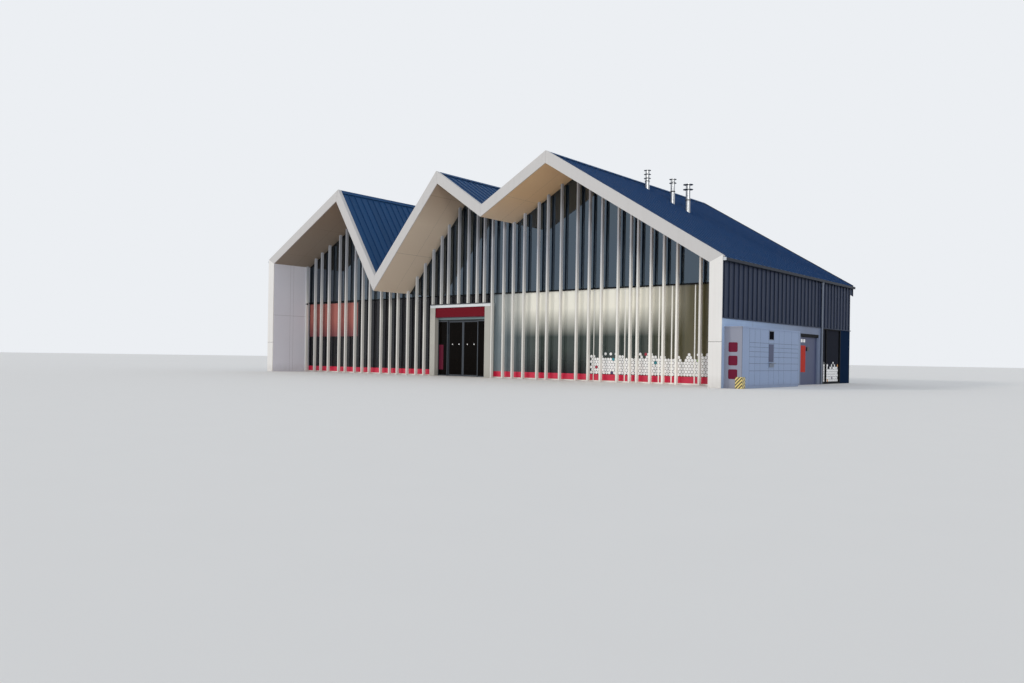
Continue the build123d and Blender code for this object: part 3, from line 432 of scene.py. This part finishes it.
class Shape:
    """Collects boxes, prisms and turned bodies into one mesh in the building's own frame."""

    def __init__(self):
        self.points = []
        self.faces = []
        self.marks = []

    def add(self, points, faces, mark=0):
        """Append faces; the mark is the number of their material."""
        first = len(self.points)
        self.points.extend(points)
        self.faces.extend([tuple(first + i for i in face) for face in faces])
        self.marks.extend([mark] * len(faces))
        return self

    def box(self, low, high, mark=0):
        """An upright box from its lowest corner to its highest."""
        (x0, y0, z0), (x1, y1, z1) = low, high
        points = [(x, y, z) for z in (z0, z1) for x, y in ((x0, y0), (x1, y0), (x1, y1), (x0, y1))]
        faces = [(3, 2, 1, 0), (4, 5, 6, 7), (0, 1, 5, 4), (1, 2, 6, 5), (2, 3, 7, 6), (3, 0, 4, 7)]
        return self.add(points, faces, mark)

    def prism(self, outline, place, start, end, mark=0):
        """Sweep a closed outline; place(u, v, w) gives the point at depth w."""
        count = len(outline)
        points = [place(u, v, w) for w in (start, end) for u, v in outline]
        faces = [tuple(reversed(range(count))), tuple(range(count, 2 * count))]
        faces += [(i, (i + 1) % count, count + (i + 1) % count, count + i) for i in range(count)]
        return self.add(points, faces, mark)

    def turned(self, base, axis, profile, sides=24, mark=0):
        """Turn a profile of (radius, height) pairs round an axis through a base point."""
        axis = Vector(axis).normalized()
        across = axis.orthogonal().normalized()
        up = axis.cross(across)
        points, faces = [], []
        for radius, height in profile:
            for k in range(sides):
                angle = 2 * math.pi * k / sides
                offset = across * math.cos(angle) * radius + up * math.sin(angle) * radius
                points.append(tuple(Vector(base) + axis * height + offset))
        for ring in range(len(profile) - 1):
            for k in range(sides):
                a, b = ring * sides + k, ring * sides + (k + 1) % sides
                faces.append((a, b, b + sides, a + sides))
        faces.append(tuple(reversed(range(sides))))
        last = (len(profile) - 1) * sides
        faces.append(tuple(range(last, last + sides)))
        return self.add(points, faces, mark)

    def frame_strips(self, low, high, width, front, back):
        """Four strips inside the edges of an upright rectangle, between two depths."""
        for x0, x1, z0, z1 in ((low.x, high.x, high.z - width, high.z),
                               (low.x, high.x, low.z, low.z + width),
                               (low.x, low.x + width, low.z + width, high.z - width),
                               (high.x - width, high.x, low.z + width, high.z - width)):
            self.box((x0, front, z0), (x1, back, z1))
        return self

    def build(self, name, materials, body=BUILDING, bevel=0.0):
        """Make the object, with softened edges, and let it ride on its body."""
        if not isinstance(materials, list):
            materials = [materials]
        mesh = bpy.data.meshes.new(name)
        mesh.from_pydata(self.points, [], self.faces)
        for material in materials:
            mesh.materials.append(material)
        mesh.polygons.foreach_set("material_index", self.marks)
        mesh.validate()
        mesh.update()
        piece = bpy.data.objects.new(name, mesh)
        bpy.context.scene.collection.objects.link(piece)
        if bevel:
            soft = piece.modifiers.new("soft_edges", "BEVEL")
            soft.width = bevel
            soft.segments = 2
            soft.limit_method = "ANGLE"
        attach(piece, body)


# ---- CAD nodes ----

FINISHES = (
    (WHITE, ["fascia_bands"]),
    (PIER, ["front_piers"]),
    (WING, ["wing_walls"]),
    (SOFFIT, ["porch_soffits"]),
    (ROOF, [name for name in nodes if name.endswith("_roofing")] + ["ridge_caps", "valley_gutters"]),
    (DECK, ["roof_decks"]),
    (CLADDING, ["left_side_cladding", "right_side_cladding", "rear_verge_trim"]),
    (DARK_PANEL, ["right_side_dark_panels"]),
    (REAR_SHEET, ["rear_gable_walls"]),
    (PLINTH, ["left_side_plinth", "right_side_plinth"]),
    (REAR_PLINTH, ["rear_plinth"]),
    (TILES, ["floor_slab"]),
    (GLASS_UPPER, ["upper_glazing"]),
    (GLASS_LOWER, ["lower_glazing"]),
    (GLASS_SIDE, ["side_window_glass"]),
    (GLASS_DOOR, ["sidelight_glass", "left_leaf_glass", "right_leaf_glass"]),
    (MULLION, ["glazing_mullions"]),
    (TRANSOM, ["glazing_transom", "side_window_frame", "service_shutter_box"]),
    (DOOR_FRAME, ["sidelight_frames", "left_leaf_frame", "right_leaf_frame"]),
    (FIN, ["sill_rails", "facade_fins"]),
    (RED, ["base_panels"]),
    (PORTAL, ["entrance_posts"]),
    (LINTEL, ["entrance_lintel"]),
    (SIGN_RED, ["entrance_sign_box"]),
    (HEADER, ["entrance_header"]),
    (LOCKER, ["locker_bank"]),
    (NICHE, ["service_niche_panel"]),
    (STEEL, ["flues"]),
    (GUTTER, ["eaves_gutters"]),
    (PIPE, ["downpipe"]),
    (GUARD, ["corner_guard"]),
)
for finish, names in FINISHES:
    for name in names:
        nodes[name].data.materials.clear()
        nodes[name].data.materials.append(finish)

GLASS_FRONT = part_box("lower_glazing")[0].y
BEDDED = 0.0005             # how far a flat piece stands in the face that carries it


# ---- Entrance ----

def lintel_cap():
    """A thin sheet over the lintel that runs back to the fins, with a drip edge in front."""
    low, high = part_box("entrance_lintel")
    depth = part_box("facade_fins")[0].y - low.y - 0.004
    thick, lip, fold, overlap = 0.012, 0.018, 0.03, 0.012
    outline = [(-lip, -fold), (-lip, thick), (depth, thick), (depth, 0.0), (0.0, 0.0), (-0.006, -fold)]
    cap = Shape()
    cap.prism(outline, lambda u, v, w: (w, low.y + u, high.z + v), low.x - overlap, high.x + overlap)
    cap.build("lintel_cap", DARK_FRAME)


def sign_trim():
    """A narrow frame round the face of the bare sign box."""
    low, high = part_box("entrance_sign_box")
    trim = Shape()
    trim.frame_strips(low, high, 0.022, low.y - 0.012, low.y + 0.002)
    trim.build("sign_box_trim", MAGENTA, bevel=0.002)


def leaf_fittings(leaf):
    """Round markers across the glass of a leaf, and a rubber seal round its pane."""
    low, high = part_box(leaf + "_glass")
    markers = Shape()
    for share in (0.25, 0.75):
        markers.turned((low.x + share * (high.x - low.x), low.y, 1.65), (0, -1, 0),
                       [(0.032, 0.0), (0.032, 0.0012), (0.029, 0.002)], 20)
    markers.build(leaf + "_markers", FILM_WHITE, leaf)
    seals = Shape()
    seals.frame_strips(low, high, 0.012, low.y - 0.006, low.y + BEDDED)
    seals.build(leaf + "_seals", BLACK, leaf, bevel=0.0015)


def sidelight_panel():
    """Bare panel on the left sidelight."""
    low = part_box("sidelight_glass")[0]
    bare = Shape()
    bare.box((low.x + 0.02, low.y - 0.004, 0.34), (low.x + 0.34, low.y - BEDDED, 1.62))
    bare.build("sidelight_panel", MAGENTA, bevel=0.0012)


lintel_cap()
sign_trim()
for leaf in LEAVES:
    leaf_fittings(leaf)
sidelight_panel()

# ---- Film, strips and screens on the panes ----

FILM_START = 6.86           # left end of the film on the front
FILM_THICK = 0.0015
HEX_RADIUS = 0.070
HEX_PITCH = 0.136
RAGGED = 0.28               # height of the upper edge where hexagons are missing
COLOURED_SHARE = 0.045
film_random = random.Random(7)


def hexagon_film(name, place, length, foot, head):
    """Rows of thin hexagons with a ragged upper edge; place(u, z, w) gives a point."""
    film = Shape()
    rise = HEX_PITCH * math.sqrt(3) / 2
    corners = [(math.sin(math.pi * k / 3) * HEX_RADIUS, math.cos(math.pi * k / 3) * HEX_RADIUS)
               for k in range(6)]
    for row in range(int((head - foot) / rise) + 2):
        z = foot + HEX_RADIUS + row * rise
        missing = (z - (head - RAGGED)) / RAGGED * 0.8
        for column in range(int(length / HEX_PITCH)):
            u = HEX_PITCH * (column + 0.5 + 0.5 * (row % 2))
            if u + HEX_RADIUS > length:
                continue
            if missing > 0 and film_random.random() < missing:
                continue
            coloured = film_random.random() < COLOURED_SHARE
            mark = 1 + film_random.randrange(len(FILM_COLOURS)) if coloured else 0
            film.prism([(u + a, z + b) for a, b in corners], place, 0.0, FILM_THICK, mark)
    film.build(name, [FILM_WHITE] + FILM_COLOURS)


hexagon_film("window_film", lambda u, z, w: (FILM_START + u, GLASS_FRONT - w, z),
             HALL_HALF - FILM_START - 0.1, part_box("base_panels")[1].z + 0.01, 1.27)
pane_low, pane_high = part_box("side_window_glass")
hexagon_film("side_window_film", lambda u, z, w: (pane_high.x + w, pane_low.y + 0.02 + u, z),
             pane_high.y - pane_low.y - 0.04, 0.09, 1.0)


def cover_strips():
    """Upright strips in front of the base panels and panes right of the entrance."""
    strips = Shape()
    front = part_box("base_panels")[0].y - 0.004
    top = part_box("glazing_transom")[0].z - 0.002
    half = 0.026
    for middle in (7.04, 8.66, 10.34, 10.94, 12.0):
        strips.box((middle - half, front, 0.0), (middle + half, GLASS_FRONT + BEDDED, top))
    strips.build("pane_cover_strips", FIN, bevel=0.003)


def salmon_screens():
    """Screens on the left panes, one between each two fins."""
    screens = Shape()
    fins = [-13.80, -13.016, -12.411, -11.698, -10.716, -10.122, -9.279]
    for left, right in zip(fins, fins[1:]):
        screens.box((left + 0.02, GLASS_FRONT - 0.005, 2.10), (right - 0.02, GLASS_FRONT - BEDDED, 4.04))
    screens.build("window_screens", SALMON, bevel=0.001)


cover_strips()
salmon_screens()


# ---- Small dome cameras ----

def wing_wall_camera():
    """A dome on a back box, on the inner face of the left wing wall."""
    y, z = -4.98, 4.06
    plate_x, ring = -HALL_HALF + 0.05, 0.05
    camera = Shape()
    camera.box((-HALL_HALF, y - 0.05, z - 0.04), (plate_x, y + 0.05, z + 0.04))
    camera.turned((plate_x, y, z), (1, 0, 0), [(0.05, 0.0), (0.055, 0.03), (0.055, ring)], 20)
    camera.turned((plate_x + ring, y, z), (1, 0, 0),
                  [(0.048, 0.0), (0.045, 0.02), (0.034, 0.038), (0.014, 0.05)], 20, 1)
    camera.build("wing_wall_camera", [LOCKER_TRIM, SCREEN], bevel=0.002)


def soffit_sensor():
    """A dome under the soffit, beside the left valley."""
    x, y, z = -4.93, FRONT_Y + 0.70, 4.66
    foot = 0.09
    sensor = Shape()
    sensor.turned((x, y, z), (0, 0, -1), [(0.045, -0.04), (0.05, 0.0), (0.06, 0.02), (0.06, foot)], 20)
    sensor.turned((x, y, z - foot), (0, 0, -1),
                  [(0.052, 0.0), (0.048, 0.022), (0.034, 0.04), (0.012, 0.052)], 20, 1)
    sensor.build("soffit_sensor", [DARK_FRAME, SCREEN], bevel=0.002)


wing_wall_camera()
soffit_sensor()

# ---- Right side: lockers, niche and shutter ----


def rounded_square(half, radius, steps=5):
    """Outline of an upright square with round corners."""
    outline = []
    for quarter, (right, up) in enumerate(((1, 1), (-1, 1), (-1, -1), (1, -1))):
        for step in range(steps + 1):
            angle = math.pi / 2 * (quarter + step / steps)
            outline.append((right * (half - radius) + radius * math.cos(angle),
                            up * (half - radius) + radius * math.sin(angle)))
    return outline


def end_signs():
    """Three bare signs, one above the other, on the lockers' front end."""
    signs = Shape()
    end_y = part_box("locker_bank")[0].y + LOCKER_TOP_REACH
    middle_x = 14.73
    for middle_z in (1.51, 1.02, 0.52):
        signs.prism(rounded_square(0.178, 0.05),
                    lambda u, v, w, z=middle_z: (middle_x + u, end_y - w, z + v), 0.0, 0.004)
    signs.build("locker_end_signs", LOCKER_SIGN, bevel=0.001)


def locker_terminal():
    """Frame, screen, recess, shelf and box of the terminal on the lockers' long face."""
    terminal = Shape()
    x = LOCKER_FACE
    for back0, back1, z0, z1, proud, mark in (
            (2.655, 3.105, 1.83, 2.19, 0.012, 0),
            (2.675, 3.085, 1.855, 2.165, 0.016, 1),
            (2.645, 3.09, 0.99, 1.67, 0.008, 2),
            (2.65, 3.11, 0.93, 0.955, 0.11, 0),
            (2.67, 3.09, 0.78, 0.93, 0.03, 0)):
        terminal.box((x, FRONT_Y + back0, z0), (x + proud, FRONT_Y + back1, z1), mark)
    terminal.build("locker_terminal", [LOCKER_TRIM, SCREEN, NICHE], bevel=0.003)


def niche_fittings():
    """Poster, lock box and two papers on the niche's panel, and guides at its sides."""
    low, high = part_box("service_niche_panel")
    fittings = Shape()
    for back0, back1, z0, z1, proud, mark in (
            (7.80, 8.56, 0.56, 1.74, 0.004, 0),
            (8.65, 8.85, 1.50, 1.67, 0.05, 1),
            (8.0, 8.21, 1.88, 2.02, 0.003, 2),
            (8.30, 8.51, 1.88, 2.02, 0.003, 2)):
        fittings.box((high.x, FRONT_Y + back0, z0), (high.x + proud, FRONT_Y + back1, z1), mark)
    fittings.build("niche_fittings", [POSTER, BLACK, FILM_WHITE], bevel=0.002)

    guides = Shape()
    width = 0.07
    for start in (low.y, high.y - width):
        guides.box((high.x, start, 0.0), (high.x + 0.075, start + width, high.z))
    guides.build("niche_side_guides", PLINTH, bevel=0.004)


def shutter_slats():
    """Round slats across the face of the closed shutter box."""
    low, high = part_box("service_shutter_box")
    slats = Shape()
    radius, pitch, margin = 0.012, 0.032, 0.02
    for step in range(4):
        slats.turned((high.x, low.y + margin, low.z + 2 * radius + step * pitch), (0, 1, 0),
                     [(radius, 0.0), (radius, high.y - low.y - 2 * margin)], 12)
    slats.build("shutter_slats", TRANSOM)


def plinth_flashing():
    """Drip flashing between the cladding and the plinth, on both sides."""
    flashing = Shape()
    outline = [(-0.02, 0.012), (0.036, 0.004), (0.036, -0.03), (0.028, -0.03), (0.028, -0.001),
               (-0.02, 0.0)]
    for side in (-1, 1):
        flashing.prism(outline, lambda u, v, w, s=side: (s * (CLADDING_FACE + u), w, PLINTH_TOP + v),
                       FRONT_Y + 0.045, -FRONT_Y - REAR_OVERHANG - 0.005)
    flashing.build("plinth_flashing", CLADDING)


end_signs()
locker_terminal()
niche_fittings()
shutter_slats()
plinth_flashing()

# ---- Rainwater goods and flues ----


def downpipe_clips():
    """Collars with brackets along the downpipe, and the funnel at its head."""
    low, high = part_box("downpipe")
    x, y = (low.x + high.x) / 2, (low.y + high.y) / 2
    clips = Shape()
    for z in (0.35, 1.45, 2.5, 3.5, 4.4):
        clips.turned((x, y, z), (0, 0, 1), [(0.051, 0.0), (0.051, 0.03)], 24)
        clips.box((PLINTH_FACE, y - 0.02, z), (x - 0.03, y + 0.02, z + 0.03))
    clips.turned((x, y, high.z - 0.16), (0, 0, 1),
                 [(0.05, 0.0), (0.052, 0.03), (0.07, 0.12), (0.07, 0.158)], 24)
    clips.build("downpipe_clips", PIPE)


def flue_collar_shadow_rings():
    """Dark rings under the flues' collars that stand for the collars' shadow: a painted shadow; their
    places are found from the turned solids themselves.
    """
    points = [vertex.co for vertex in nodes["flues"].data.vertices]
    rings = Shape()
    for x in (7.065, 8.462, 9.272):
        own = [p for p in points if abs(p.x - x) < 0.3]
        y = (min(p.y for p in own) + max(p.y for p in own)) / 2
        levels = sorted({round(p.z, 3) for p in own})
        collar = min(z for z in levels if z > levels[0] + 0.4)
        tube = max(math.hypot(p.x - x, p.y - y) for p in own if abs(p.z - collar) < 0.002)
        inner, outer, tall = tube - 0.01, tube + 0.006, 0.038
        rings.turned((x, y, collar - 0.004), (0, 0, 1),
                     [(inner, 0.0), (outer, 0.0), (outer, tall), (inner, tall)], 32)
    rings.build("flue_collar_shadow_rings", BLACK)


downpipe_clips()
flue_collar_shadow_rings()


# ---- Stage, light and camera ----

def stage_floor():
    """A plain pale floor under the part."""
    mesh = bpy.data.meshes.new("stage_floor")
    reach, level = 400.0, -0.004
    mesh.from_pydata([(-reach, -reach, level), (reach, -reach, level), (reach, reach, level),
                      (-reach, reach, level)], [], [(0, 1, 2, 3)])
    pale = Surface("stage_ground", colour(234, 232, 229), 0.9, spread=0.01, bump=0.0)
    mesh.materials.append(pale.done())
    floor = bpy.data.objects.new("stage_floor", mesh)
    bpy.context.scene.collection.objects.link(floor)


def studio_world():
    """Soft bluish light all round; camera, glossy and transmission rays see a paler sky."""
    world = bpy.data.worlds.new("studio")
    bpy.context.scene.world = world
    world.use_nodes = True
    tree = world.node_tree
    tree.nodes.clear()

    def background(rgba, strength):
        node = tree.nodes.new("ShaderNodeBackground")
        node.inputs["Color"].default_value = rgba
        node.inputs["Strength"].default_value = strength
        return node.outputs[0]

    def greater(a, b):
        node = tree.nodes.new("ShaderNodeMath")
        node.operation = "MAXIMUM"
        tree.links.new(a, node.inputs[0])
        tree.links.new(b, node.inputs[1])
        return node.outputs[0]

    ray = tree.nodes.new("ShaderNodeLightPath").outputs
    seen = greater(greater(ray["Is Camera Ray"], ray["Is Glossy Ray"]), ray["Is Transmission Ray"])
    blend = tree.nodes.new("ShaderNodeMixShader")
    tree.links.new(seen, blend.inputs[0])
    tree.links.new(background((0.86, 0.92, 1.0, 1.0), 0.66), blend.inputs[1])
    tree.links.new(background(colour(236, 239, 243), 1.0), blend.inputs[2])
    tree.links.new(blend.outputs[0], tree.nodes.new("ShaderNodeOutputWorld").inputs["Surface"])


def sun(name, strength, tint, direction):
    """A soft sun that shines along a direction."""
    data = bpy.data.lights.new(name, "SUN")
    data.energy = strength
    data.angle = math.radians(9)
    data.color = tint
    lamp = bpy.data.objects.new(name, data)
    bpy.context.scene.collection.objects.link(lamp)
    lamp.rotation_mode = "QUATERNION"
    lamp.rotation_quaternion = Vector(direction).to_track_quat("-Z", "Y")


def photo_camera():
    """The photo's camera, solved from the level edges of the front and the right side."""
    data = bpy.data.cameras.new("photo_camera")
    data.lens = 29.031
    data.sensor_width = 36.0
    data.shift_y = 0.0161
    data.clip_start, data.clip_end = 0.5, 1000.0
    view = bpy.data.objects.new("photo_camera", data)
    bpy.context.scene.collection.objects.link(view)
    view.location = (27.95, -35.283, 0.989)
    view.rotation_euler = (math.radians(90), math.radians(-0.882), math.radians(40.044))
    return view


stage_floor()
studio_world()
sun("key", 0.75, (1.0, 0.95, 0.88), (0.55, 0.72, -0.46))
sun("fill", 0.70, (1.0, 0.97, 0.93), (-0.62, 0.74, -0.26))
bpy.context.scene.camera = photo_camera()
bpy.context.scene.view_settings.view_transform = "Standard"
